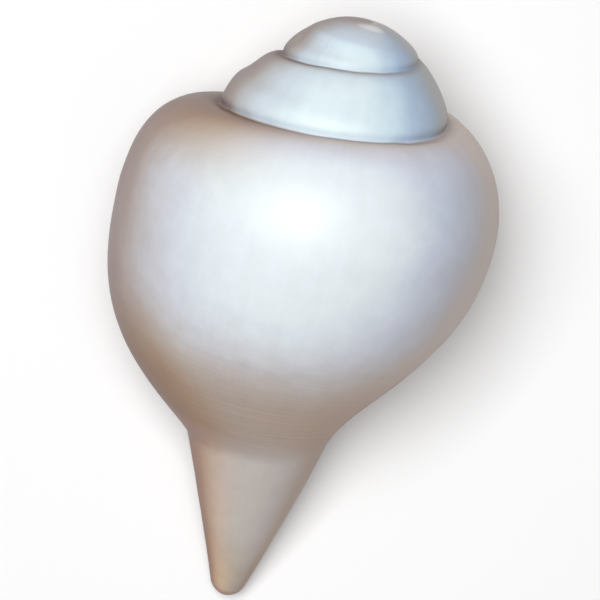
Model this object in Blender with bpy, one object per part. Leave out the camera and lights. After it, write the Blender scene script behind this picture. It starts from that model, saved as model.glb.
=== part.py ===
"""Conch shell: a heavy, smooth sea shell with a low worn spire and a short canal, lying on its mouth.

The shell grew as one piece, so it is one closed solid. Its wall follows a widening spiral that climbs its
coiling axis. A place on the wall has a whorl age, counted in whole turns back from the outer lip: 0 is the
lip, 1 is the same direction one whorl earlier. At every age the wall's outline across the axis is drawn
from the same few growth rules: a shoulder that starts at the suture, the widest place, a base that draws
in to the neck, and the canal below it. The mouth is the room between the last whorl and the one before.
"""
import math

import bmesh
import bpy
import numpy as np
from mathutils import Matrix

NAME = "conch_shell"
MM = 0.001

# Growth rules. Lengths are in millimetres, heights are up the coiling axis from the canal's tip.
WIDEST_RADIUS = 45.1          # widest place of the last whorl, at the lip
WIDEST_GROWTH = 1.645         # how many times wider each whorl is than the one before
SPIRE_WEAR = 0.028            # share by which the spire is worn narrower
SPIRE_WEAR_AGE = 1.9          # where it is worn most
SPIRE_WEAR_SPAN = 0.45        # turns
WIDEST_HEIGHT = 77.5
SPIRE_TOP = 138.4             # height that the widest place nears in the oldest whorls
CLIMB_GROWTH = 1.605
OLDEST_SEAM_RISE = 0.4        # from the widest place to the oldest seam, in widest radii
OLDEST_SEAM_AGES = (2.0, 2.15)  # ages between which the seam comes to lie free of a whorl before
SUTURE_RADIUS = 27.1          # seam where a whorl meets the one before, at the lip
SUTURE_CORE = 0.3
SUTURE_GROWTH = 1.70
SHOULDER_ROUNDNESS = 2.56     # 2 is an ellipse, more is boxier, less is flatter
SPIRE_ROUNDNESS = 1.62
ROUNDNESS_FADE = 0.48         # turns
NECK_HEIGHT = (34.7, 8.1)     # at the lip, and the rise in one turn back
BASE_FULLNESS = (1.81, 1.04)
BASE_PINCH = (0.82, 2.98)
CANAL_TIP_RADIUS = 2.85
CANAL_SLOPE = (0.49, 0.51)    # at the lip, and the loss in one turn back
CANAL_CORE_SLOPE = 0.03
CANAL_BEND = 2.6              # how far the tip of the canal bends towards the lip's side
CANAL_BEND_HEIGHT = 46.0
SPIRE_LEAN = 1.65             # how far the spire leans to the same side
SPIRE_LEAN_FROM = 90.0
SPIRE_LEAN_SPAN = 31.5
APEX_HEIGHT = 127.3           # the worn, blunt apex
APEX_CURVE = 14.1             # radius of the worn apex's top
APEX_FLAT = 3.6               # radius within which the worn top is nearly flat
APEX_BLEND = 0.8
WORN_SMOOTH = (9.8, 12.4)     # radii between which the wear stops filling the seams
WORN_REACH = (19.5, 23.8)     # radii between which the wear fades out
TURNS = 3                     # whorls that are drawn, down to the worn apex
LIP_AGE = 0.103               # turns from the lip to the shell's left edge, seen from its back

# The mouth. The wall is thin at the lip and thick inside.
LIP_WALL = 2.6
INNER_WALL = 4.6
WALL_FADE = 0.12              # turns over which the wall thickens
CANAL_WALL_SHARE = 0.45       # the canal's wall against the body's
TOP_WALL = 2.2                # the wall under the suture, against the wall's own thickness
GLAZE = 0.7                   # the layer laid over the whorl before, inside the mouth
GLAZE_AGES = (0.86, 0.94)     # ages between which the glaze thins out on the back of the mouth
LEAST_GAP = 1.4               # the mouth closes to a point where its walls come this near
LEAST_CORE = 0.2              # the hollow keeps at least this far from the axis in the canal
HOLLOW_SQUARENESS = 0.25      # smaller is boxier, where the hollow's walls meet at its ends
LIP_SWEEP = 0.034             # turns by which the lower lip draws back from the upper
LIP_SWEEP_HEIGHT = 52.0
LIP_SWEEP_REACH = 28.0
MOUTH_DEPTH = 0.46            # turns that the hollow runs in behind the lip, to just out of sight
MOUTH_STEPS = 24              # rings of the hollow in one turn
FOLD_HEIGHT = 56.0            # middle of the three folds on the central pillar
FOLD_PITCH = 7.8
FOLD_RISE = 2.0
FOLD_COUNT = 3
FOLD_MARGIN = 0.2             # how far the outer folds run out past their crests' half pitch
FOLD_EVENNESS = 0.4           # smaller makes the outer folds as strong as the middle one
INNER_TURN_BACK = 0.03        # turns by which the hollow's inner wall starts behind the lip

# The lie of the shell: it rests on the lip, the belly of the last whorl and the canal's tip.
AXIS_LIFT = math.radians(17.1)
AXIS_ROLL = math.radians(0.15)
CONTACT_WEAR = 0.5            # depth of the three small worn flats that it rests on

# How finely the faces follow the form.
COLUMNS = 54                  # in one turn
SHOULDER_ROWS = 8
BASE_ROWS = 15
CANAL_ROWS = 4
TIP_STEPS = (1.0, 0.5, 0.15)  # heights of the last rows, in canal tip radii
LIP_LOOPS = 4
APEX_RINGS = 3
HEIGHT_SAMPLES = 400          # heights tried to find where the hollow opens and closes
SHARP_EDGE = math.radians(50)

SHELL_COLOUR = (0.80, 0.77, 0.72, 1.0)
SHELL_ROUGHNESS = 0.32


def grown(at_lip, growth, age):
    """A size that shrinks by the same factor for each turn back from the lip."""
    return at_lip * growth ** -age


def widest_radius(age):
    wear = SPIRE_WEAR * np.exp(-((age - SPIRE_WEAR_AGE) / SPIRE_WEAR_SPAN) ** 2)
    return grown(WIDEST_RADIUS, WIDEST_GROWTH, age) * (1 - wear)


def widest_height(age):
    return SPIRE_TOP - grown(SPIRE_TOP - WIDEST_HEIGHT, CLIMB_GROWTH, age)


def suture_radius(age):
    return SUTURE_CORE + grown(SUTURE_RADIUS - SUTURE_CORE, SUTURE_GROWTH, age)


def roundness(age):
    return SPIRE_ROUNDNESS + (SHOULDER_ROUNDNESS - SPIRE_ROUNDNESS) * math.exp(-age / ROUNDNESS_FADE)


def suture_height(age):
    """The seam lies on the shoulder of the whorl before, so its height is found one turn back."""
    oldest = widest_height(age) + OLDEST_SEAM_RISE * widest_radius(age)
    if age >= OLDEST_SEAM_AGES[1]:
        return oldest
    before = age + 1
    across = (suture_radius(age) - suture_radius(before)) / (widest_radius(before) - suture_radius(before))
    bulge = roundness(before)
    rise = suture_height(before) - widest_height(before)
    laid = widest_height(before) + rise * (1 - across ** bulge) ** (1 / bulge)
    return laid + (oldest - laid) * fade(age, *OLDEST_SEAM_AGES)


def canal_radius(height, age):
    slope = np.maximum(CANAL_SLOPE[0] - CANAL_SLOPE[1] * age, CANAL_CORE_SLOPE)
    tip = np.clip(height / CANAL_TIP_RADIUS, 0, 1)
    return (CANAL_TIP_RADIUS + slope * height) * np.sqrt(tip * (2 - tip))


def base_radius(height, age, wall=0.0, canal_wall=0.0):
    """Radius of the wall below its widest place, taken in by the wall's thickness where one is given."""
    held = np.minimum(age, 1.0)
    neck = NECK_HEIGHT[0] + NECK_HEIGHT[1] * held
    fullness = BASE_FULLNESS[0] + BASE_FULLNESS[1] * held
    pinch = BASE_PINCH[0] + BASE_PINCH[1] * held
    widest = widest_height(age)
    down = np.clip((widest - height) / (widest - neck), 0, 1)
    core = np.maximum(canal_radius(height, held) - canal_wall, LEAST_CORE)
    return core + (widest_radius(age) - wall - core) * (1 - down ** fullness) ** pinch


def shoulder_radius(height, age, wall=0.0, top_wall=0.0):
    """Radius of the wall above its widest place."""
    bulge = roundness(age)
    top = suture_height(age) - top_wall
    up = np.clip((height - widest_height(age)) / (top - widest_height(age)), 0, 1)
    seam = suture_radius(age)
    return seam + (widest_radius(age) - wall - seam) * (1 - up ** bulge) ** (1 / bulge)


def covered_share(age):
    """How far across the shoulder the next whorl's seam lies. The last whorl keeps the value of age 1."""
    held = max(age, 1.0)
    seam = suture_radius(held)
    return (suture_radius(held - 1) - seam) / (widest_radius(held) - seam)


def shoulder_rows(age):
    """Rows from the seam down to where the next whorl's seam covers the shoulder."""
    bulge = roundness(age)
    last = math.asin(covered_share(age) ** (bulge / 2))
    turn = np.linspace(0, last, SHOULDER_ROWS + 1)
    across = np.sin(turn) ** (2 / bulge)
    up = np.cos(turn) ** (2 / bulge)
    seam = suture_radius(age)
    widest = widest_height(age)
    radius = seam + (widest_radius(age) - seam) * across
    height = widest + (suture_height(age) - widest) * up
    return radius, height


def lower_rows(age):
    """Rows from the widest place down the base and the canal to just above the tip."""
    neck = NECK_HEIGHT[0] + NECK_HEIGHT[1] * age
    base = np.linspace(widest_height(age), neck, BASE_ROWS + 1)
    tip = np.array(TIP_STEPS) * CANAL_TIP_RADIUS
    canal = np.linspace(neck, tip[0], CANAL_ROWS + 1)
    height = np.concatenate([base, canal[1:], tip[1:]])
    ages = swept(height, age)
    return base_radius(height, ages) + glaze_thickness(age, height), height, ages


def swept(height, age):
    """Ages along the lower lip, which draws back between the shoulder and the canal."""
    off = (height - LIP_SWEEP_HEIGHT) / LIP_SWEEP_REACH
    return age + LIP_SWEEP * np.clip(1 - off ** 2, 0, 1) * max(1 - age, 0) ** 2


def glaze_thickness(age, height):
    """The glaze over the belly beside the mouth, thickest at the mouth and gone a little way round."""
    beside_mouth = np.clip(height / NECK_HEIGHT[0], 0, 1) * (height < suture_height(0))
    return GLAZE * fade(age, *GLAZE_AGES) * beside_mouth


def fold_rise(height):
    """Folds that wind down the central pillar, strongest in the middle."""
    off = (height - FOLD_HEIGHT) / FOLD_PITCH
    window = np.clip(1 - np.abs(off) / (FOLD_COUNT / 2 + FOLD_MARGIN), 0, 1) ** FOLD_EVENNESS
    return FOLD_RISE * window * (1 + np.cos(2 * math.pi * off)) / 2


def mouth_walls(height, age):
    """Outer and inner radius of the hollow at heights up the axis, and age turns in behind the lip."""
    wall = LIP_WALL + (INNER_WALL - LIP_WALL) * fade(age, 0, WALL_FADE)
    canal_wall = wall * CANAL_WALL_SHARE
    above = shoulder_radius(height, age, wall, wall * TOP_WALL)
    below = base_radius(height, swept(height, age), wall, canal_wall)
    outer = np.where(height > widest_height(age), above, below)
    inner = base_radius(height, age + 1) + GLAZE
    return outer, inner


def mouth_ends(age):
    """Lowest and highest place of the hollow, where its walls still stand apart."""
    heights = np.linspace(LEAST_GAP, suture_height(age), HEIGHT_SAMPLES)
    outer, inner = mouth_walls(heights, age)
    open_heights = heights[outer - inner > LEAST_GAP]
    return open_heights[0], open_heights[-1]


def mouth_loop(shares, inner_side, age):
    """One ring of the hollow: radius, height and age of each place.

    shares runs from 0 at the canal's end to 1 at the top, and inner_side is 1 on the central pillar's side.
    """
    low, high = mouth_ends(age)
    height = low + (high - low) * shares
    outer, inner = mouth_walls(height, age)
    round_off = (4 * shares * (1 - shares)) ** HOLLOW_SQUARENESS
    middle = (outer + inner) / 2
    half = (outer - inner) / 2 * round_off
    radius = middle + half * (1 - 2 * inner_side)
    radius = radius + inner_side * round_off * fold_rise(height)
    ages = np.where(inner_side > 0, age + INNER_TURN_BACK * round_off, swept(height, age))
    return radius, height, ages


def place(radius, height, age):
    """A point in the shell's own frame: Z up the axis, X to the right and Y away, seen from its back."""
    turn = -math.pi + 2 * math.pi * (age - LIP_AGE)
    bend = CANAL_BEND * np.clip(1 - height / CANAL_BEND_HEIGHT, 0, 1) ** 2
    lean = SPIRE_LEAN * np.clip((height - SPIRE_LEAN_FROM) / SPIRE_LEAN_SPAN, 0, 1)
    x = radius * np.cos(turn) - bend - lean
    y = radius * np.sin(turn)
    return np.stack([x, y, height + 0 * x], axis=-1)


def worn_dome(across):
    """Height of the smooth top that the spire is ground down to."""
    beyond_flat = np.sqrt(across ** 4 + APEX_FLAT ** 4) - APEX_FLAT ** 2
    return APEX_HEIGHT - beyond_flat / (2 * APEX_CURVE)


def fade(value, start, end):
    """0 before start, 1 past end, and a smooth rise between."""
    share = np.clip((value - start) / (end - start), 0, 1)
    return share * share * (3 - 2 * share)


def worn(points):
    """The spire's top, ground down to the dome wherever it would stand higher."""
    across = np.hypot(points[..., 0] + SPIRE_LEAN, points[..., 1])
    dome = worn_dome(across)
    height = points[..., 2]
    mix = np.clip(0.5 + (dome - height) / (4 * APEX_BLEND), 0, 1)
    ground = dome * (1 - mix) + height * mix - 2 * APEX_BLEND * mix * (1 - mix)
    ground = dome + (ground - dome) * fade(across, *WORN_SMOOTH)
    result = points.copy()
    result[..., 2] = ground + (height - ground) * fade(across, *WORN_REACH)
    return result


class Lattice:
    """Points and faces of the growing surface."""

    def __init__(self):
        self.points = []
        self.faces = []

    def add(self, points):
        """Add points and give their numbers."""
        first = len(self.points)
        self.points.extend(points)
        return list(range(first, len(self.points)))

    def strip(self, left, right, closed=False):
        """Quads between two rows of numbers. A number that both rows share makes a triangle."""
        count = len(left)
        for i in range(count if closed else count - 1):
            k = (i + 1) % count
            corners = [left[i], left[k], right[k], right[i]]
            face = [c for n, c in enumerate(corners) if c not in corners[:n]]
            if len(face) > 2:
                self.faces.append(face)

    def fan(self, ring, centre):
        for i, corner in enumerate(ring):
            self.faces.append([corner, ring[(i + 1) % len(ring)], centre])


def outside(lattice):
    """The wall's outside. Returns the rows of numbers of every column, from the lip to the apex."""
    tip = lattice.add(place(np.zeros(1), np.zeros(1), 0.0))[0]
    columns = []
    for step in range(COLUMNS * TURNS + 1):
        age = step / COLUMNS
        radius, height = shoulder_rows(age)
        if step <= COLUMNS:
            low_radius, low_height, low_ages = lower_rows(age)
            radius = np.concatenate([radius + glaze_thickness(age, height), low_radius])
            height = np.concatenate([height, low_height])
            ages = np.concatenate([np.full(SHOULDER_ROWS + 1, age), low_ages])
        else:
            ages = age
        points = place(radius, height, ages)
        points[:SHOULDER_ROWS + 1] = worn(points[:SHOULDER_ROWS + 1])
        if step < COLUMNS:
            numbers = lattice.add(points) + [tip]
        else:
            seam = columns[step - COLUMNS][0]
            upper = lattice.add(points[:SHOULDER_ROWS])
            lower = lattice.add(points[SHOULDER_ROWS + 1:]) + [tip] if step == COLUMNS else []
            numbers = upper + [seam] + lower
        columns.append(numbers)
    for newer, older in zip(columns[:COLUMNS], columns[1:COLUMNS + 1]):
        lattice.strip(newer, older)
    for newer, older in zip(columns[COLUMNS:], columns[COLUMNS + 1:]):
        lattice.strip(newer[:SHOULDER_ROWS + 1], older[:SHOULDER_ROWS + 1])
    return columns


def apex(lattice, columns):
    """The worn top, closed over the oldest whorl in a few rings that grow rounder towards the middle."""
    last = COLUMNS * TURNS
    ring = [columns[step][0] for step in range(last - COLUMNS, last)]
    ring += columns[last][:SHOULDER_ROWS]
    points = np.array([lattice.points[number] for number in ring])
    reach = np.hypot(points[:, 0] + SPIRE_LEAN, points[:, 1])
    turn = np.unwrap(np.arctan2(points[:, 1], points[:, 0] + SPIRE_LEAN))
    even = turn[COLUMNS] + 2 * math.pi * (np.arange(len(ring)) - COLUMNS) / len(ring)
    for step in range(1, APEX_RINGS):
        share = 1 - step / APEX_RINGS
        radius = share * (share * reach + (1 - share) * reach.mean())
        angle = even + (turn - even) * share
        numbers = lattice.add(np.stack([
            radius * np.cos(angle) - SPIRE_LEAN, radius * np.sin(angle), worn_dome(radius)], axis=-1))
        lattice.strip(ring, numbers, closed=True)
        ring = numbers
    top = lattice.add([np.array([-SPIRE_LEAN, 0.0, APEX_HEIGHT])])[0]
    lattice.fan(ring, top)


def mouth(lattice, columns):
    """The lip's rounded edge, the hollow behind it and the open slot of the canal."""
    lip = columns[0]
    pillar = columns[COLUMNS][SHOULDER_ROWS + 1:-1][::-1]
    ring = lip + pillar
    top_radius, top_height = shoulder_rows(0.0)
    low_radius, low_height, low_ages = lower_rows(0.0)
    pillar_radius, pillar_height, pillar_ages = lower_rows(1.0)
    radius = np.concatenate([top_radius, low_radius, [0.0], pillar_radius[::-1]])
    height = np.concatenate([top_height, low_height, [0.0], pillar_height[::-1]])
    edge_age = np.concatenate([0 * top_height, low_ages, [0.0], 0 * pillar_ages])
    inner_side = np.concatenate([np.zeros(len(lip)), np.ones(len(pillar))])
    shares = height / suture_height(0.0)
    loop_radius, loop_height, loop_age = mouth_loop(shares, inner_side, 0.0)

    rings = [ring]
    for step in range(1, LIP_LOOPS + 1):
        part = step / LIP_LOOPS
        mix = (1 - math.cos(math.pi * part)) / 2
        thickness = np.hypot(loop_radius - radius, loop_height - height)
        roll = np.minimum(thickness, LIP_WALL) / 2 * math.sin(math.pi * part) * (1 - inner_side)
        rings.append(lattice.add(place(
            radius + (loop_radius - radius) * mix,
            height + (loop_height - height) * mix,
            edge_age + (loop_age - edge_age) * mix - roll / (2 * math.pi * np.maximum(radius, LIP_WALL)))))
    for step in range(1, round(MOUTH_DEPTH * MOUTH_STEPS) + 1):
        rings.append(lattice.add(place(*mouth_loop(shares, inner_side, step / MOUTH_STEPS))))
    for newer, older in zip(rings, rings[1:]):
        lattice.strip(older, newer, closed=True)
    end = np.mean([lattice.points[number] for number in rings[-1]], axis=0)
    lattice.fan(rings[-1][::-1], lattice.add([end])[0])


def lay_down(points):
    """Turn the shell onto its mouth, its long axis along +Y, and grind the three places it rests on."""
    upright_to_lying = Matrix.Rotation(AXIS_LIFT - math.pi / 2, 3, "X") @ Matrix.Rotation(AXIS_ROLL, 3, "Z")
    lying = np.asarray(points) @ np.array(upright_to_lying).T
    low = lying.min(axis=0)
    high = lying.max(axis=0)
    lying -= [(low[0] + high[0]) / 2, (low[1] + high[1]) / 2, low[2] + CONTACT_WEAR]
    lying[:, 2] = np.maximum(lying[:, 2], 0)
    return lying


def shell_material():
    material = bpy.data.materials.new("porcelain_shell")
    material.use_nodes = True
    shader = material.node_tree.nodes["Principled BSDF"]
    shader.inputs["Base Color"].default_value = SHELL_COLOUR
    shader.inputs["Roughness"].default_value = SHELL_ROUGHNESS
    shader.inputs["Metallic"].default_value = 0.0
    material.diffuse_color = SHELL_COLOUR
    return material


def build():
    for old in list(bpy.data.objects):
        bpy.data.objects.remove(old, do_unlink=True)
    lattice = Lattice()
    columns = outside(lattice)
    apex(lattice, columns)
    mouth(lattice, columns)

    mesh = bpy.data.meshes.new("shell")
    mesh.from_pydata((lay_down(lattice.points) * MM).tolist(), [], lattice.faces)
    surface = bmesh.new()
    surface.from_mesh(mesh)
    bmesh.ops.triangulate(surface, faces=surface.faces)
    bmesh.ops.recalc_face_normals(surface, faces=surface.faces)
    surface.to_mesh(mesh)
    surface.free()
    mesh.shade_smooth()
    mesh.set_sharp_from_angle(angle=SHARP_EDGE)
    mesh.materials.append(shell_material())

    shell = bpy.data.objects.new("shell", mesh)
    parts = bpy.data.collections.new(NAME)
    bpy.context.scene.collection.children.link(parts)
    parts.objects.link(shell)
    return shell


build()
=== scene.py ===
"""The looks of a conch shell lying on its mouth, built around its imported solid.

The fine wall follows the same growth rules as the solid. A place on it has a whorl age, counted in whole
turns back from the outer lip, and a height up the coiling axis, both in the shell's own frame. Lengths are
in millimetres until the mesh is made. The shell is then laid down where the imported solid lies.
"""
import math

import bmesh
import bpy
import numpy as np
from mathutils import Matrix, Vector, noise


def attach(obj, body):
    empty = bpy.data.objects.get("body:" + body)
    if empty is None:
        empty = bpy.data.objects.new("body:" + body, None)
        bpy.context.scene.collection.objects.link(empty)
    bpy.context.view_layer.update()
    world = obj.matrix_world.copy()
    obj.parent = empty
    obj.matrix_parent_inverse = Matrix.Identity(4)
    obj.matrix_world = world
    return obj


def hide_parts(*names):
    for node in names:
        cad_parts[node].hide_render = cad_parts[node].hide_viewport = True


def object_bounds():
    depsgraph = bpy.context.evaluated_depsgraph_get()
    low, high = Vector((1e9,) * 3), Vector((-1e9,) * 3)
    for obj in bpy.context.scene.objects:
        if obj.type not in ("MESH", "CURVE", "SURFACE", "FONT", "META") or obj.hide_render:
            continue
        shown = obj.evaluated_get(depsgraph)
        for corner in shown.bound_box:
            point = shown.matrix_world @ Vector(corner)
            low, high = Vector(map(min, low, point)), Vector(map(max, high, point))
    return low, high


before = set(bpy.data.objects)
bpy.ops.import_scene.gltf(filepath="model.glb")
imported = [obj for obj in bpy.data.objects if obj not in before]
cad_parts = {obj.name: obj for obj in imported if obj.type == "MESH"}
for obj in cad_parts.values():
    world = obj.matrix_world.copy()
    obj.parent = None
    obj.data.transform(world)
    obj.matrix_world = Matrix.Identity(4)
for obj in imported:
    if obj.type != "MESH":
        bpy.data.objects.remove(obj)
SOLID_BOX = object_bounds()

MM = 0.001

# Growth rules. Heights are up the coiling axis from the canal's tip.
WIDEST_RADIUS = 45.1          # widest place of the last whorl, at the lip
WIDEST_GROWTH = 1.645         # how many times wider each whorl is than the one before
SPIRE_WEAR = 0.028            # share by which the spire is worn narrower
SPIRE_WEAR_AGE = 1.9          # where it is worn most
SPIRE_WEAR_SPAN = 0.45        # turns
WIDEST_HEIGHT = 77.5
SPIRE_TOP = 138.4             # height that the widest place nears in the oldest whorls
CLIMB_GROWTH = 1.605
OLDEST_SEAM_RISE = 0.4        # from the widest place to the oldest seam, in widest radii
OLDEST_SEAM_AGES = (2.0, 2.15)  # ages between which the seam comes to lie free of a whorl before
SUTURE_RADIUS = 27.1          # seam where a whorl meets the one before, at the lip
SUTURE_CORE = 0.3
SUTURE_GROWTH = 1.70
SHOULDER_ROUNDNESS = 2.56     # 2 is an ellipse, more is boxier, less is flatter
SPIRE_ROUNDNESS = 1.62
ROUNDNESS_FADE = 0.48         # turns
NECK_HEIGHT = (34.7, 8.1)     # at the lip, and the rise in one turn back
BASE_FULLNESS = (1.81, 1.04)
BASE_PINCH = (0.82, 2.98)
CANAL_TIP_RADIUS = 2.85
CANAL_SLOPE = (0.49, 0.51)    # at the lip, and the loss in one turn back
CANAL_CORE_SLOPE = 0.03
CANAL_BEND = 2.6              # how far the tip of the canal bends towards the lip's side
CANAL_BEND_HEIGHT = 46.0
SPIRE_LEAN = 1.65             # how far the spire leans to the same side
SPIRE_LEAN_FROM = 90.0
SPIRE_LEAN_SPAN = 31.5
APEX_HEIGHT = 127.3           # the worn, blunt apex
APEX_CURVE = 14.1             # radius of the worn apex's top
APEX_FLAT = 3.6               # radius within which the worn top is nearly flat
APEX_BLEND = 0.8
WORN_SMOOTH = (9.8, 12.4)     # radii between which the wear stops filling the seams
WORN_REACH = (19.5, 23.8)     # radii between which the wear fades out
TURNS = 3                     # whorls that are drawn, down to the worn apex
LIP_AGE = 0.103               # turns from the lip to the shell's left edge, seen from its back

# The mouth. The wall is thin at the lip and thick inside.
LIP_WALL = 2.6
INNER_WALL = 4.6
WALL_FADE = 0.12              # turns over which the wall thickens
CANAL_WALL_SHARE = 0.45       # the canal's wall against the body's
TOP_WALL = 2.2                # the wall under the suture, against the wall's own thickness
GLAZE = 0.7                   # the layer laid over the whorl before, inside the mouth
GLAZE_AGES = (0.86, 0.94)     # ages between which the glaze thins out on the back of the mouth
GLAZE_TOP_FADE = 6.0          # height over which its colour fades out towards the spire
LEAST_GAP = 1.4               # the mouth closes to a point where its walls come this near
LEAST_CORE = 0.2              # the hollow keeps at least this far from the axis in the canal
HOLLOW_SQUARENESS = 0.25      # smaller is boxier, where the hollow's walls meet at its ends
LIP_SWEEP = 0.034             # turns by which the lower lip draws back from the upper
LIP_SWEEP_HEIGHT = 52.0
LIP_SWEEP_REACH = 28.0
MOUTH_DEPTH = 0.46            # turns that the hollow runs in behind the lip, to just out of sight
FOLD_HEIGHT = 56.0            # middle of the three folds on the central pillar
FOLD_PITCH = 7.8
FOLD_RISE = 2.0
FOLD_COUNT = 3
FOLD_MARGIN = 0.2             # how far the outer folds run out past their crests' half pitch
FOLD_EVENNESS = 0.4           # smaller makes the outer folds as strong as the middle one
INNER_TURN_BACK = 0.03        # turns by which the hollow's inner wall starts behind the lip

# The lie of the shell: it rests on the lip, the belly of the last whorl and the canal's tip.
AXIS_LIFT = math.radians(17.1)
AXIS_ROLL = math.radians(0.15)
CONTACT_WEAR = 0.5            # depth of the three small worn flats that it rests on

# How finely the faces follow the form.
COLUMNS = 300                 # in one turn
SHOULDER_ROWS = 30
BRIM_ROWS = 10                # from the shoulder's last row to the widest place
BASE_ROWS = 62
CANAL_ROWS = 28
TIP_ROWS = 8
SEAM_CROWDING = 0.8           # how much nearer the rows lie beside the seams, of 1
LIP_LOOPS = 12
MOUTH_STEPS = 100             # rings of the hollow in one turn
APEX_RINGS = 14
HEIGHT_SAMPLES = 1200         # heights tried to find where the hollow opens and closes

# Relief that the years left on the wall.
SEAM_DEPTH = 0.32             # groove where two whorls meet
SEAM_WIDTH = 1.1
SEAM_START = 0.05             # turns over which the groove deepens behind the lip
SWELL_RISE = 0.20             # broad unevenness of the wall
SWELL_SIZE = 21.0
DENT_RISE = 0.05
DENT_SIZE = 5.5
GROWTH_RISE = 0.07            # growth halts: low ridges along the lips of the past
GROWTH_HALTS = 26             # in one turn
HALT_HEIGHT = 45.0            # height over which a ridge changes

# The camera, in the shell's own frame. It looks at the shell's back, a little from the spire's side.
CAMERA_RISE = math.radians(18.97)     # above square on to the axis, towards the spire
CAMERA_ROLL = math.radians(13.64)
CAMERA_DISTANCE = 398.5
CAMERA_PIVOT = 63.0                   # height up the axis that the camera turns about
CAMERA_CLIP = 0.01                    # metres
PIVOT_PIXEL = (301.55, 326.8)         # where that place shows in the picture
IMAGE_SIZE = 600
FOCAL_PIXELS = 1944.9
SENSOR = 36.0

# The studio, in metres. A light hangs in a direction from the shell's middle, at a distance.
FLOOR_SIZE = 4.0
FLOOR_ROUGHNESS = 0.9
SHELL_MIDDLE = (0.0, 0.0, 0.03)
LIGHTS = [
    # name, direction, distance, size, power, colour
    ("key", (-0.15, 0.08, 1.0), 0.9, 0.65, 9.6, (1.0, 1.0, 1.0)),
    ("fill", (0.5, -0.3, 1.0), 1.3, 0.9, 0.8, (0.93, 0.96, 1.0)),
]
SKY_COLOUR = (0.95, 0.97, 1.0, 1.0)
SKY_STRENGTH = 0.06


def grown(at_lip, growth, age):
    """A size that shrinks by the same factor for each turn back from the lip."""
    return at_lip * growth ** -age


def widest_radius(age):
    wear = SPIRE_WEAR * np.exp(-((age - SPIRE_WEAR_AGE) / SPIRE_WEAR_SPAN) ** 2)
    return grown(WIDEST_RADIUS, WIDEST_GROWTH, age) * (1 - wear)


def widest_height(age):
    return SPIRE_TOP - grown(SPIRE_TOP - WIDEST_HEIGHT, CLIMB_GROWTH, age)


def suture_radius(age):
    return SUTURE_CORE + grown(SUTURE_RADIUS - SUTURE_CORE, SUTURE_GROWTH, age)


def roundness(age):
    return SPIRE_ROUNDNESS + (SHOULDER_ROUNDNESS - SPIRE_ROUNDNESS) * math.exp(-age / ROUNDNESS_FADE)


def suture_height(age):
    """The seam lies on the shoulder of the whorl before, so its height is found one turn back."""
    oldest = widest_height(age) + OLDEST_SEAM_RISE * widest_radius(age)
    if age >= OLDEST_SEAM_AGES[1]:
        return oldest
    before = age + 1
    across = (suture_radius(age) - suture_radius(before)) / (widest_radius(before) - suture_radius(before))
    bulge = roundness(before)
    rise = suture_height(before) - widest_height(before)
    laid = widest_height(before) + rise * (1 - across ** bulge) ** (1 / bulge)
    return laid + (oldest - laid) * fade(age, *OLDEST_SEAM_AGES)


def canal_radius(height, age):
    slope = np.maximum(CANAL_SLOPE[0] - CANAL_SLOPE[1] * age, CANAL_CORE_SLOPE)
    tip = np.clip(height / CANAL_TIP_RADIUS, 0, 1)
    return (CANAL_TIP_RADIUS + slope * height) * np.sqrt(tip * (2 - tip))


def base_radius(height, age, wall=0.0, canal_wall=0.0):
    """Radius of the wall below its widest place, taken in by the wall's thickness where one is given."""
    held = np.minimum(age, 1.0)
    neck = NECK_HEIGHT[0] + NECK_HEIGHT[1] * held
    fullness = BASE_FULLNESS[0] + BASE_FULLNESS[1] * held
    pinch = BASE_PINCH[0] + BASE_PINCH[1] * held
    widest = widest_height(age)
    down = np.clip((widest - height) / (widest - neck), 0, 1)
    core = np.maximum(canal_radius(height, held) - canal_wall, LEAST_CORE)
    return core + (widest_radius(age) - wall - core) * (1 - down ** fullness) ** pinch


def shoulder_radius(height, age, wall=0.0, top_wall=0.0):
    """Radius of the wall above its widest place."""
    bulge = roundness(age)
    top = suture_height(age) - top_wall
    up = np.clip((height - widest_height(age)) / (top - widest_height(age)), 0, 1)
    seam = suture_radius(age)
    return seam + (widest_radius(age) - wall - seam) * (1 - up ** bulge) ** (1 / bulge)


def covered_turn(age):
    """How far round the shoulder, as an angle, the next whorl's seam lies. The last whorl keeps age 1's."""
    held = max(age, 1.0)
    seam = suture_radius(held)
    across = (suture_radius(held - 1) - seam) / (widest_radius(held) - seam)
    return math.asin(across ** (roundness(age) / 2))


def shoulder_rows(age):
    """Rows from the seam over the shoulder, crowded beside the seams, and on to the last whorl's brim."""
    share = np.linspace(0, 1, SHOULDER_ROWS + 1)
    crowded = share - SEAM_CROWDING * np.sin(2 * math.pi * share) / (2 * math.pi)
    turn = covered_turn(age) * crowded
    if age <= 1:
        brim = np.linspace(covered_turn(age), math.pi / 2, BRIM_ROWS + 1)
        turn = np.concatenate([turn, brim[1:-1]])
    bulge = roundness(age)
    seam = suture_radius(age)
    widest = widest_height(age)
    radius = seam + (widest_radius(age) - seam) * np.sin(turn) ** (2 / bulge)
    height = widest + (suture_height(age) - widest) * np.cos(turn) ** (2 / bulge)
    return radius, height


def lower_rows(age):
    """Rows from the widest place down the base and the canal to just above the tip."""
    neck = NECK_HEIGHT[0] + NECK_HEIGHT[1] * age
    base = np.linspace(widest_height(age), neck, BASE_ROWS + 1)
    canal = np.linspace(neck, CANAL_TIP_RADIUS, CANAL_ROWS + 1)
    around = np.linspace(0, math.pi / 2, TIP_ROWS + 1)[1:-1]
    tip = CANAL_TIP_RADIUS * (1 - np.sin(around))
    height = np.concatenate([base, canal[1:], tip])
    return base_radius(height, swept(height, age)), height


def swept(height, age):
    """Ages along the lower lip, which draws back between the shoulder and the canal."""
    off = (height - LIP_SWEEP_HEIGHT) / LIP_SWEEP_REACH
    return age + LIP_SWEEP * np.clip(1 - off ** 2, 0, 1) * max(1 - age, 0) ** 2


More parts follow.
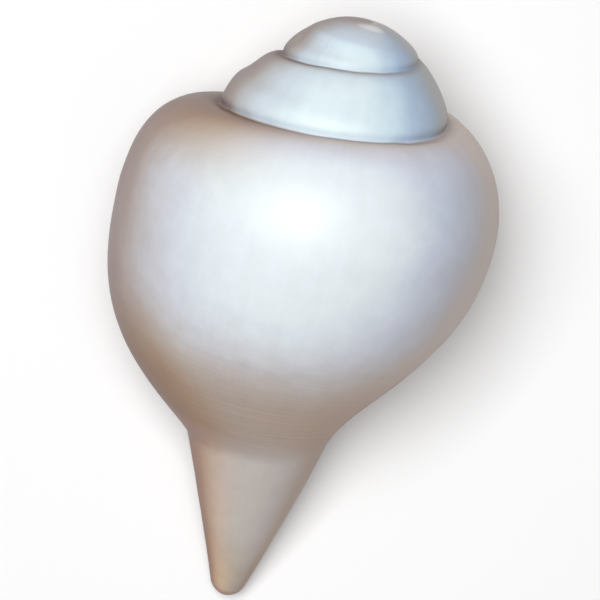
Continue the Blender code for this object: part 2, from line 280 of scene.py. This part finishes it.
def glaze_cover(age, height):
    """The glaze over the belly beside the mouth, 1 at the mouth and gone a little way round."""
    beside_mouth = np.clip(height / NECK_HEIGHT[0], 0, 1) * (height < suture_height(0))
    return fade(age, *GLAZE_AGES) * beside_mouth


def fold_rise(height):
    """Folds that wind down the central pillar, strongest in the middle."""
    off = (height - FOLD_HEIGHT) / FOLD_PITCH
    window = np.clip(1 - np.abs(off) / (FOLD_COUNT / 2 + FOLD_MARGIN), 0, 1) ** FOLD_EVENNESS
    return FOLD_RISE * window * (1 + np.cos(2 * math.pi * off)) / 2


def mouth_walls(height, age):
    """Outer and inner radius of the hollow at heights up the axis, and age turns in behind the lip."""
    wall = LIP_WALL + (INNER_WALL - LIP_WALL) * fade(age, 0, WALL_FADE)
    canal_wall = wall * CANAL_WALL_SHARE
    above = shoulder_radius(height, age, wall, wall * TOP_WALL)
    below = base_radius(height, swept(height, age), wall, canal_wall)
    outer = np.where(height > widest_height(age), above, below)
    inner = base_radius(height, age + 1) + GLAZE
    return outer, inner


def mouth_ends(age):
    """Lowest and highest place of the hollow, where its walls still stand apart."""
    heights = np.linspace(LEAST_GAP, suture_height(age), HEIGHT_SAMPLES)
    outer, inner = mouth_walls(heights, age)
    open_heights = heights[outer - inner > LEAST_GAP]
    return open_heights[0], open_heights[-1]


def mouth_loop(shares, inner_side, age):
    """One ring of the hollow: radius, height and age of each place.

    shares runs from 0 at the canal's end to 1 at the top, and inner_side is 1 on the central pillar's side.
    """
    low, high = mouth_ends(age)
    height = low + (high - low) * shares
    outer, inner = mouth_walls(height, age)
    round_off = (4 * shares * (1 - shares)) ** HOLLOW_SQUARENESS
    middle = (outer + inner) / 2
    half = (outer - inner) / 2 * round_off
    radius = middle + half * (1 - 2 * inner_side)
    radius = radius + inner_side * round_off * fold_rise(height)
    ages = np.where(inner_side > 0, age + INNER_TURN_BACK * round_off, swept(height, age))
    return radius, height, ages


def place(radius, height, age):
    """A point in the shell's own frame: Z up the axis, X to the right and Y away, seen from its back."""
    turn = -math.pi + 2 * math.pi * (age - LIP_AGE)
    bend = CANAL_BEND * np.clip(1 - height / CANAL_BEND_HEIGHT, 0, 1) ** 2
    lean = SPIRE_LEAN * np.clip((height - SPIRE_LEAN_FROM) / SPIRE_LEAN_SPAN, 0, 1)
    x = radius * np.cos(turn) - bend - lean
    y = radius * np.sin(turn)
    return np.stack([x, y, height + 0 * x], axis=-1)


def fade(value, start, end):
    """0 before start, 1 past end, and a smooth rise between."""
    share = np.clip((value - start) / (end - start), 0, 1)
    return share * share * (3 - 2 * share)


def from_spire_axis(points):
    return np.hypot(points[..., 0] + SPIRE_LEAN, points[..., 1])


def worn_dome(across):
    """Height of the smooth top that the spire is ground down to."""
    beyond_flat = np.sqrt(across ** 4 + APEX_FLAT ** 4) - APEX_FLAT ** 2
    return APEX_HEIGHT - beyond_flat / (2 * APEX_CURVE)


def worn(points):
    """The spire's top, ground down to the dome wherever it would stand higher."""
    across = from_spire_axis(points)
    dome = worn_dome(across)
    height = points[..., 2]
    mix = np.clip(0.5 + (dome - height) / (4 * APEX_BLEND), 0, 1)
    ground = dome * (1 - mix) + height * mix - 2 * APEX_BLEND * mix * (1 - mix)
    ground = dome + (ground - dome) * fade(across, *WORN_SMOOTH)
    result = points.copy()
    result[..., 2] = ground + (height - ground) * fade(across, *WORN_REACH)
    return result


class Wall:
    """Points and faces of the growing surface, with what each point knows about its place on it."""

    def __init__(self):
        self.points = []
        self.faces = []
        self.traits = {"age": [], "seam": [], "below": [], "glaze": [], "inside": []}

    def add(self, points, **traits):
        """Add points with their traits, and give their numbers."""
        first = len(self.points)
        self.points.extend(points)
        for name, values in self.traits.items():
            values.extend(np.broadcast_to(traits.get(name, 0.0), len(points)))
        return list(range(first, len(self.points)))

    def strip(self, left, right, closed=False):
        """Quads between two rows of numbers. A number that both rows share makes a triangle."""
        count = len(left)
        for i in range(count if closed else count - 1):
            k = (i + 1) % count
            corners = [left[i], left[k], right[k], right[i]]
            face = [c for n, c in enumerate(corners) if c not in corners[:n]]
            if len(face) > 2:
                self.faces.append(face)

    def fan(self, ring, centre):
        for i, corner in enumerate(ring):
            self.faces.append([corner, ring[(i + 1) % len(ring)], centre])


def below_seam(points):
    """How far each place of a column lies from the column's first, along the wall."""
    steps = np.linalg.norm(np.diff(points, axis=0), axis=1)
    return np.concatenate([[0], np.cumsum(steps)])


def seam_share(points, age):
    """How near each place of a column is to a seam: 1 in the seam, 0 well away from it."""
    below = below_seam(points)
    near = fade(age, 0, SEAM_START) / (1 + (below / SEAM_WIDTH) ** 2)
    if age >= 1:
        above = below[SHOULDER_ROWS] - below
        near = np.maximum(near, fade(age - 1, 0, SEAM_START) / (1 + (above / SEAM_WIDTH) ** 2))
    return near * fade(from_spire_axis(points), *WORN_SMOOTH)


def outside(wall):
    """The wall's outside. Returns the rows of numbers of every column, from the lip to the apex."""
    tip = wall.add(place(np.zeros(1), np.zeros(1), 0.0))[0]
    columns = []
    for step in range(COLUMNS * TURNS + 1):
        age = step / COLUMNS
        radius, height = shoulder_rows(age)
        shoulder = len(radius)
        if step <= COLUMNS:
            low_radius, low_height = lower_rows(age)
            radius = np.concatenate([radius, low_radius])
            height = np.concatenate([height, low_height])
        glaze = glaze_cover(age, height) if step <= COLUMNS else np.zeros(len(height))
        ages = swept(height, age)
        points = place(radius + GLAZE * glaze, height, ages)
        points[:shoulder] = worn(points[:shoulder])
        glazed = glaze * fade(suture_height(0) - height, 0, GLAZE_TOP_FADE)
        traits = {"age": ages, "glaze": glazed, "seam": seam_share(points, age), "below": below_seam(points)}

        def rows(part):
            return wall.add(points[part], **{name: values[part] for name, values in traits.items()})

        if step < COLUMNS:
            numbers = rows(slice(None)) + [tip]
        else:
            seam = columns[step - COLUMNS][0]
            numbers = rows(slice(SHOULDER_ROWS)) + [seam]
            if step == COLUMNS:
                numbers += rows(slice(SHOULDER_ROWS + 1, None)) + [tip]
        columns.append(numbers)
    for newer, older in zip(columns[:COLUMNS], columns[1:COLUMNS + 1]):
        wall.strip(newer, older)
    for newer, older in zip(columns[COLUMNS:], columns[COLUMNS + 1:]):
        wall.strip(newer[:SHOULDER_ROWS + 1], older[:SHOULDER_ROWS + 1])
    return columns


def apex(wall, columns):
    """The worn top, closed over the oldest whorl in a few rings that grow rounder towards the middle."""
    last = COLUMNS * TURNS
    ring = [columns[step][0] for step in range(last - COLUMNS, last)]
    ring += columns[last][:SHOULDER_ROWS]
    points = np.array([wall.points[number] for number in ring])
    ages = np.array([wall.traits["age"][number] for number in ring])
    reach = from_spire_axis(points)
    turn = np.unwrap(np.arctan2(points[:, 1], points[:, 0] + SPIRE_LEAN))
    even = turn[COLUMNS] + 2 * math.pi * (np.arange(len(ring)) - COLUMNS) / len(ring)
    for step in range(1, APEX_RINGS):
        share = 1 - step / APEX_RINGS
        radius = share * (share * reach + (1 - share) * reach.mean())
        angle = even + (turn - even) * share
        inner = np.stack([
            radius * np.cos(angle) - SPIRE_LEAN, radius * np.sin(angle), worn_dome(radius)], axis=-1)
        numbers = wall.add(inner, age=TURNS + (ages - TURNS) * share)
        wall.strip(ring, numbers, closed=True)
        ring = numbers
    top = wall.add([np.array([-SPIRE_LEAN, 0.0, APEX_HEIGHT])], age=TURNS)[0]
    wall.fan(ring, top)


def mouth(wall, columns):
    """The lip's rounded edge, the hollow behind it and the open slot of the canal."""
    lip = columns[0]
    pillar = columns[COLUMNS][SHOULDER_ROWS + 1:-1][::-1]
    ring = lip + pillar
    top_radius, top_height = shoulder_rows(0.0)
    low_radius, low_height = lower_rows(0.0)
    lip_height = np.concatenate([top_height, low_height])
    pillar_top_radius, pillar_top_height = shoulder_rows(1.0)
    pillar_low_radius, pillar_low_height = lower_rows(1.0)
    pillar_radius = np.concatenate([pillar_top_radius[SHOULDER_ROWS + 1:], pillar_low_radius])[::-1]
    pillar_height = np.concatenate([pillar_top_height[SHOULDER_ROWS + 1:], pillar_low_height])[::-1]
    radius = np.concatenate([top_radius, low_radius, [0.0], pillar_radius])
    height = np.concatenate([lip_height, [0.0], pillar_height])
    edge_age = np.concatenate([swept(lip_height, 0.0), [0.0], 0 * pillar_height])
    inner_side = np.concatenate([np.zeros(len(lip)), np.ones(len(pillar))])
    shares = np.clip(height / suture_height(0.0), 0, 1)
    loop_radius, loop_height, loop_age = mouth_loop(shares, inner_side, 0.0)

    rings = [ring]
    for step in range(1, LIP_LOOPS + 1):
        part = step / LIP_LOOPS
        mix = (1 - math.cos(math.pi * part)) / 2
        thickness = np.hypot(loop_radius - radius, loop_height - height)
        roll = np.minimum(thickness, LIP_WALL) / 2 * math.sin(math.pi * part) * (1 - inner_side)
        ages = edge_age + (loop_age - edge_age) * mix - roll / (2 * math.pi * np.maximum(radius, LIP_WALL))
        rolled = place(radius + (loop_radius - radius) * mix, height + (loop_height - height) * mix, ages)
        glaze = np.maximum(mix, inner_side)
        rings.append(wall.add(rolled, age=ages + inner_side, glaze=glaze))
    for step in range(1, round(MOUTH_DEPTH * MOUTH_STEPS) + 1):
        age = step / MOUTH_STEPS
        loop_radius, loop_height, ages = mouth_loop(shares, inner_side, age)
        hollow = place(loop_radius, loop_height, ages)
        rings.append(wall.add(hollow, age=ages + inner_side, glaze=1.0, inside=age / MOUTH_DEPTH))
    for newer, older in zip(rings, rings[1:]):
        wall.strip(older, newer, closed=True)
    end = np.mean([wall.points[number] for number in rings[-1]], axis=0)
    wall.fan(rings[-1][::-1], wall.add([end], glaze=1.0, inside=1.0)[0])


def uneven(places):
    """Smooth noise between -1 and 1, one value for each place."""
    return np.array([noise.noise(Vector(place)) for place in places])


def relief(points, traits):
    """How far each point stands out from the growth rules' smooth wall."""
    open_wall = 1 - traits["inside"] - 0.6 * traits["glaze"] * (1 - traits["inside"])
    unworn = fade(from_spire_axis(points), *WORN_SMOOTH)
    swell = SWELL_RISE * uneven(points / SWELL_SIZE)
    dents = DENT_RISE * uneven(points / DENT_SIZE + 40)
    along = np.stack([traits["age"] * GROWTH_HALTS, points[:, 2] / HALT_HEIGHT, 0 * points[:, 2]], axis=-1)
    halts = GROWTH_RISE * uneven(along) * unworn
    near = traits["seam"]
    distance = SEAM_WIDTH * np.sqrt(np.maximum(1 / np.maximum(near, 1e-4) - 1, 0))
    wobble = 1 + 0.35 * uneven(points / 4 + 80)
    groove = SEAM_DEPTH * wobble * np.exp(-(distance / SEAM_WIDTH) ** 2)
    return (swell + dents + halts) * open_wall - groove * unworn * (near > 1e-3)


def lay_down(points):
    """Turn the shell onto its mouth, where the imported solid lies, and grind the three places it rests on."""
    upright_to_lying = Matrix.Rotation(AXIS_LIFT - math.pi / 2, 3, "X") @ Matrix.Rotation(AXIS_ROLL, 3, "Z")
    lying = np.asarray(points) @ np.array(upright_to_lying).T * MM
    low = lying.min(axis=0)
    high = lying.max(axis=0)
    solid_low, solid_high = [np.array(corner) for corner in SOLID_BOX]
    shift = (solid_low + solid_high - low - high) / 2
    shift[2] = solid_low[2] - low[2] - CONTACT_WEAR * MM
    lying += shift
    lying[:, 2] = np.maximum(lying[:, 2], solid_low[2])
    return lying, shift, upright_to_lying


class Signal:
    """A socket in a material's node tree. Python's operators join signals through Math nodes."""

    def __init__(self, recipe, socket):
        self.recipe = recipe
        self.socket = socket

    def math(self, operation, *values, clamp=False):
        settings = {"operation": operation, "use_clamp": clamp}
        return self.recipe.node("ShaderNodeMath", settings, {i: v for i, v in enumerate(values)})

    def __add__(self, other):
        return self.math("ADD", self, other)

    def __sub__(self, other):
        return self.math("SUBTRACT", self, other)

    def __rsub__(self, other):
        return self.math("SUBTRACT", other, self)

    def __mul__(self, other):
        return self.math("MULTIPLY", self, other)

    def __truediv__(self, other):
        return self.math("DIVIDE", self, other)

    __radd__ = __add__

    def rise(self, start, end):
        """0 where the signal is at start, 1 at end, and a smooth rise or fall between."""
        settings = {"interpolation_type": "SMOOTHSTEP"}
        low, high, out = (start, end, (0.0, 1.0)) if start < end else (end, start, (1.0, 0.0))
        inputs = {"Value": self, "From Min": low, "From Max": high, "To Min": out[0], "To Max": out[1]}
        return self.recipe.node("ShaderNodeMapRange", settings, inputs)

    def between(self, start, full, fading, gone):
        """1 from full to fading, and 0 before start and past gone."""
        return self.rise(start, full) * self.rise(gone, fading)

    def limited(self):
        return self.math("ADD", self, 0.0, clamp=True)


class Recipe:
    """A material's node tree."""

    def __init__(self, name):
        self.material = bpy.data.materials.new(name)
        self.material.use_nodes = True
        self.tree = self.material.node_tree
        self.shader = self.tree.nodes["Principled BSDF"]

    def node(self, kind, settings=None, inputs=None, output=0):
        """Add a node of any kind: its settings first, then values or links for its sockets."""
        node = self.tree.nodes.new(kind)
        for name, value in (settings or {}).items():
            if name == "stops":
                self.set_stops(node.color_ramp, value)
            else:
                setattr(node, name, value)
        for name, value in (inputs or {}).items():
            self.feed(node.inputs[name], value)
        return Signal(self, node.outputs[output])

    def set_stops(self, ramp, stops):
        while len(ramp.elements) < len(stops):
            ramp.elements.new(1.0)
        for element, (position, colour) in zip(ramp.elements, stops):
            element.position = position
            element.color = colour

    def feed(self, socket, value):
        if isinstance(value, Signal):
            self.tree.links.new(value.socket, socket)
        else:
            socket.default_value = value

    def set(self, **sockets):
        """Set the shader's sockets, named with underscores for spaces."""
        for name, value in sockets.items():
            self.feed(self.shader.inputs[name.replace("_", " ")], value)

    def trait(self, name):
        """What each point knows about its place on the wall."""
        return self.node("ShaderNodeAttribute", {"attribute_name": name}, output=2)

    def blend(self, share, first, second, kind="MIX"):
        """Two colours mixed by share, 0 for the first and 1 for the second."""
        settings = {"data_type": "RGBA", "blend_type": kind}
        return self.node("ShaderNodeMix", settings, {0: share, 6: first, 7: second}, output=2)

    def grain(self, where, size, detail=2.0, roughness=0.5):
        """Noise between 0 and 1 with spots about size across, in the units of where."""
        inputs = {"Vector": where, "Scale": 1 / size, "Detail": detail, "Roughness": roughness}
        return self.node("ShaderNodeTexNoise", {"noise_dimensions": "3D"}, inputs)

    def vector(self, x, y, z):
        return self.node("ShaderNodeCombineXYZ", inputs={0: x, 1: y, 2: z})

    def vector_math(self, operation, *values, output=0):
        inputs = {i: v for i, v in enumerate(values)}
        return self.node("ShaderNodeVectorMath", {"operation": operation}, inputs, output)


def srgb(red, green, blue):
    """A colour given as screen values from 0 to 255."""
    def linear(value):
        value /= 255
        return value / 12.92 if value <= 0.04045 else ((value + 0.055) / 1.055) ** 2.4
    return (linear(red), linear(green), linear(blue), 1.0)


# Painted shade: the wall's colour by how far it faces up, darker and warmer on the sides and light and cool on
# the back, as light falls from above.
WALL_COLOURS_PAINTED_SHADE = [
    (0.05, srgb(170, 148, 134)),
    (0.25, srgb(195, 174, 163)),
    (0.45, srgb(200, 186, 178)),
    (0.60, srgb(203, 201, 204)),
    (0.75, srgb(211, 215, 224)),
    (0.90, srgb(223, 231, 235)),
]
# Tints that lie over it, real stains and painted shade, warmth and highlight, each a share of the red, green
# and blue that it lets through. Above 1 it brightens.
SPIRE_STAIN = (0.93, 1.0, 1.0, 1.0)
# painted cool shade on the spire's side away from the lip
SPIRE_FAR_SIDE_PAINTED_SHADE = (0.82, 0.91, 1.0, 1.0)
APEX_STAIN = (0.97, 0.99, 1.04, 1.0)
# painted highlight: brightens a small spot on the apex
APEX_PAINTED_HIGHLIGHT = (1.40, 1.40, 1.40, 1.0)
# painted warm shade, brown, on the shoulder's lip side
SHOULDER_PAINTED_WARM_SHADE = (0.82, 0.62, 0.40, 1.0)
BAND_STAIN = (1.07, 1.06, 1.07, 1.0)
# painted shade, brownish, on the lip's side where the wall turns away from up
LIP_SIDE_PAINTED_SHADE = (0.46, 0.37, 0.38, 1.0)
# painted shade, cool and darker, on the side away from the lip
FAR_SIDE_PAINTED_SHADE = (0.83, 0.87, 0.96, 1.0)
# painted shade, tan, in the neck's hollow
NECK_PAINTED_SHADE = (0.80, 0.65, 0.52, 1.0)
# painted warm shade, orange, at the neck's corner on the lip side
NECK_CORNER_PAINTED_WARM_SHADE = (1.04, 0.82, 0.42, 1.0)
# painted shade over the canal
CANAL_PAINTED_SHADE = (0.79, 0.68, 0.59, 1.0)
# painted warm light, orange, over the canal's painted shade on the lip side
CANAL_LIP_SIDE_PAINTED_WARMTH = (1.30, 1.12, 0.92, 1.0)
# darker and warmer towards the canal's tip
TIP_DARKENING = (0.88, 0.80, 0.70, 1.0)
# painted shade, grey, along the seams
SEAM_PAINTED_SHADE = (0.78, 0.80, 0.85, 1.0)
HIGHLIGHT_PLACE = (-0.6, -4.2, 127.0)      # a painted highlight on the apex, a small pale spot like a fresh chip, in the shell's own frame
HIGHLIGHT_SIZE = (1.7, 0.7)                # distances from there over which it fades out
HIGHLIGHT_SQUEEZE = (0.5, 1.0, 1.0)        # makes it twice as long across
GLAZE_CREAM = srgb(246, 232, 214)
GLAZE_PEACH = srgb(236, 196, 160)
FLOOR_COLOUR = srgb(248, 248, 248)


def shell_finish(highlight_place):
    """Sea-worn porcelain with painted shade: cool white back and darker sides painted by facing, painted warm
    shade at shoulder, neck and canal, painted seam shade, a painted apex highlight, and cream glaze in the
    mouth.
    """
    recipe = Recipe("sea_worn_porcelain_with_painted_shade")
    where = recipe.node("ShaderNodeTexCoord", output=3)
    age = recipe.trait("age")
    seam = recipe.trait("seam")
    glaze = recipe.trait("glaze")
    inside = recipe.trait("inside")
    own_height = recipe.trait("height")
    patches = recipe.grain(where, 0.018, 3.0)
    mottle = recipe.grain(where, 0.0035, 4.0, 0.6)
    growth = recipe.grain(recipe.vector(age * 60, own_height / 30, 0.0), 1.0, 4.0, 0.65)
    fine_growth = recipe.grain(recipe.vector(age * 260, own_height / 16, 0.0), 1.0, 2.0)
    threads = recipe.grain(recipe.vector(age * 5, own_height * 1.8, 0.0), 1.0, 2.0, 0.5)

    ragged = (patches - 0.5) + (mottle - 0.5) * 0.5
    height = own_height + ragged * 9
    upward = recipe.trait("upward") + ragged * 0.10
    lip_side = recipe.trait("lip_side") + ragged * 0.3
    below = recipe.trait("below") + ragged * 8
    last_whorl = age.rise(1.02, 0.96)
    spire = age.rise(1.0, 1.04)
    neck = height.between(39.0, 46.0, 50.0, 76.0)
    canal = height.rise(47.0, 40.0)
    # where the painted highlight on the apex lies
    beside_highlight = recipe.vector_math("SUBTRACT", where, highlight_place)
    squeezed = recipe.vector_math("MULTIPLY", beside_highlight, HIGHLIGHT_SQUEEZE)
    off_highlight = recipe.vector_math("LENGTH", squeezed, output=1) / MM
    highlight_edge, highlight_core = HIGHLIGHT_SIZE

    # real stains together with painted shade, warmth and a painted highlight
    stains_and_painted_shade = [
        (SPIRE_STAIN, spire * own_height.rise(86.0, 90.0)),
        # painted cool shade on the spire's far side
        (SPIRE_FAR_SIDE_PAINTED_SHADE, spire * lip_side.rise(0.0, -0.65)),
        (APEX_STAIN, own_height.rise(121.0, 125.0)),
        # painted highlight on the apex
        (APEX_PAINTED_HIGHLIGHT, (off_highlight + ragged * 1.6).rise(highlight_edge, highlight_core)),
        (BAND_STAIN, below.between(0.0, 4.0, 6.0, 15.0) * last_whorl),
        # painted warm shade on the last whorl's shoulder, lip side
        (SHOULDER_PAINTED_WARM_SHADE, lip_side.rise(0.2, 0.95) * below.rise(24.0, 6.0) * last_whorl),
        # painted shade on the lip's side, stronger where the wall faces less up
        (LIP_SIDE_PAINTED_SHADE, lip_side.rise(0.0, 0.9) * upward.rise(0.78, 0.2)),
        # painted cool shade on the far side, where the wall half faces up
        (FAR_SIDE_PAINTED_SHADE, lip_side.rise(-0.2, -0.9) * upward.between(0.3, 0.6, 0.75, 0.97)
         * height.rise(60.0, 72.0)),
        # painted shade in the neck, broken up by the spiral threads
        (NECK_PAINTED_SHADE, (neck * (0.8 + threads * 0.4)).limited()),
        # painted warm shade at the neck's corner
        (NECK_CORNER_PAINTED_WARM_SHADE, height.between(40.0, 46.0, 48.0, 72.0) * lip_side.rise(0.35, 0.95)),
        # painted shade on the canal, and painted warmth on its lip side
        (CANAL_PAINTED_SHADE, canal),
        (CANAL_LIP_SIDE_PAINTED_WARMTH, canal * lip_side.rise(0.3, 0.9)),
        (TIP_DARKENING, height.rise(22.0, 6.0)),
        # painted shade in the seams
        (SEAM_PAINTED_SHADE, (seam.rise(0.08, 0.9) * (0.45 + mottle * 0.8)).limited()),
    ]
    # painted shade: the base colour darkens as the wall faces less up
    colour = recipe.node("ShaderNodeValToRGB", {"stops": WALL_COLOURS_PAINTED_SHADE}, {"Fac": upward})
    for tint, share in stains_and_painted_shade:
        colour = recipe.blend(share, colour, tint, "MULTIPLY")
    streaks = (growth - 0.5) * 0.08 + (fine_growth - 0.5) * 0.04 + (mottle - 0.5) * 0.10
    tone = 1.0 + (streaks + (threads - 0.5) * neck * 0.45) * (1 - glaze)
    colour = recipe.blend(1.0, colour, recipe.vector(tone, tone, tone), "MULTIPLY")
    glazed = recipe.blend(inside.rise(0.0, 0.35), GLAZE_CREAM, GLAZE_PEACH)
    colour = recipe.blend(glaze.rise(0.05, 0.7), colour, glazed)

    satin = 0.46 + (mottle - 0.5) * 0.14 + seam * 0.2 + height.rise(74.0, 48.0) * 0.08
    roughness = satin * (1 - glaze * 0.5)
    bump = (growth - 0.5) * 0.5 + (fine_growth - 0.5) * 0.3 + (mottle - 0.5) * 0.35
    surface = recipe.node("ShaderNodeBump", inputs={
        "Strength": 0.25, "Distance": 0.12 * MM, "Height": bump * (1 - glaze * 0.8)})
    recipe.set(Base_Color=colour, Roughness=roughness, Normal=surface, IOR=1.53, Coat_Weight=0.12,
               Coat_Roughness=0.3)
    return recipe.material


def shell_mesh():
    """The fine shell, laid down. Gives its mesh, and how a point of the shell's own frame is laid down."""
    wall = Wall()
    columns = outside(wall)
    apex(wall, columns)
    mouth(wall, columns)
    points = np.array(wall.points)
    traits = {name: np.array(values, dtype=float) for name, values in wall.traits.items()}

    mesh = bpy.data.meshes.new("conch")
    mesh.from_pydata(points.tolist(), [], wall.faces)
    surface = bmesh.new()
    surface.from_mesh(mesh)
    bmesh.ops.recalc_face_normals(surface, faces=surface.faces)
    surface.to_mesh(mesh)
    surface.free()
    outward = np.empty(len(points) * 3)
    mesh.vertex_normals.foreach_get("vector", outward)
    points += outward.reshape(-1, 3) * relief(points, traits)[:, None]
    lying, shift, turned = lay_down(points)
    mesh.vertices.foreach_set("co", lying.ravel())
    mesh.update()
    mesh.shade_smooth()

    facing = np.empty(len(points) * 3)
    mesh.vertex_normals.foreach_get("vector", facing)
    traits["height"] = points[:, 2]
    traits["upward"] = facing[2::3]
    traits["lip_side"] = -points[:, 0] / np.maximum(np.hypot(points[:, 0], points[:, 1]), 1.0)
    for name, values in traits.items():
        mesh.attributes.new(name, "FLOAT", "POINT").data.foreach_set("value", values)
    return mesh, shift, turned


def add_shell():
    mesh, shift, turned = shell_mesh()
    # the painted highlight's place, laid down with the shell
    highlight_place = turned @ Vector(HIGHLIGHT_PLACE) * MM + Vector(shift)
    mesh.materials.append(shell_finish(highlight_place))
    shell = bpy.data.objects.new("conch", mesh)
    bpy.context.scene.collection.objects.link(shell)
    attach(shell, "root")
    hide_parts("shell")
    return shift, turned


def add_floor():
    recipe = Recipe("pale_floor")
    recipe.set(Base_Color=FLOOR_COLOUR, Roughness=FLOOR_ROUGHNESS)
    bpy.ops.mesh.primitive_plane_add(size=FLOOR_SIZE)
    floor = bpy.context.object
    floor.name = "floor"
    floor.data.materials.append(recipe.material)


def add_camera(shift, turned):
    back = Vector((0, -math.cos(CAMERA_RISE), math.sin(CAMERA_RISE)))
    up = Vector((0, math.sin(CAMERA_RISE), math.cos(CAMERA_RISE)))
    right = Vector((1, 0, 0))
    level_right = right * math.cos(CAMERA_ROLL) + up * math.sin(CAMERA_ROLL)
    level_up = up * math.cos(CAMERA_ROLL) - right * math.sin(CAMERA_ROLL)
    off_right = (PIVOT_PIXEL[0] - IMAGE_SIZE / 2) / FOCAL_PIXELS
    off_up = (IMAGE_SIZE / 2 - PIVOT_PIXEL[1]) / FOCAL_PIXELS
    eye = Vector((0, 0, CAMERA_PIVOT)) + back * CAMERA_DISTANCE
    aim = -back - level_right * off_right - level_up * off_up
    camera_back = -aim.normalized()
    camera_right = level_up.cross(camera_back).normalized()
    camera_up = camera_back.cross(camera_right)
    axes = Matrix((camera_right, camera_up, camera_back)).transposed()

    camera = bpy.data.cameras.new("camera")
    camera.sensor_width = SENSOR
    camera.lens = FOCAL_PIXELS / IMAGE_SIZE * SENSOR
    camera.clip_start = CAMERA_CLIP
    holder = bpy.data.objects.new("camera", camera)
    holder.matrix_world = Matrix.Translation(turned @ eye * MM + Vector(shift)) @ (turned @ axes).to_4x4()
    bpy.context.scene.collection.objects.link(holder)
    bpy.context.scene.camera = holder


def add_light(name, direction, distance, size, power, colour):
    """A soft square light that hangs in a direction from the shell's middle and shines at it."""
    lamp = bpy.data.lights.new(name, "AREA")
    lamp.shape = "SQUARE"
    lamp.size = size
    lamp.energy = power
    lamp.color = colour
    holder = bpy.data.objects.new(name, lamp)
    towards = Vector(direction).normalized()
    holder.location = Vector(SHELL_MIDDLE) + towards * distance
    holder.rotation_euler = towards.to_track_quat("Z", "Y").to_euler()
    bpy.context.scene.collection.objects.link(holder)


def add_lights():
    for light in LIGHTS:
        add_light(*light)
    world = bpy.data.worlds.new("studio")
    world.use_nodes = True
    background = world.node_tree.nodes["Background"]
    background.inputs["Color"].default_value = SKY_COLOUR
    background.inputs["Strength"].default_value = SKY_STRENGTH
    bpy.context.scene.world = world
    bpy.context.scene.view_settings.view_transform = "Standard"


shell_shift, shell_turned = add_shell()
add_floor()
add_camera(shell_shift, shell_turned)
add_lights()
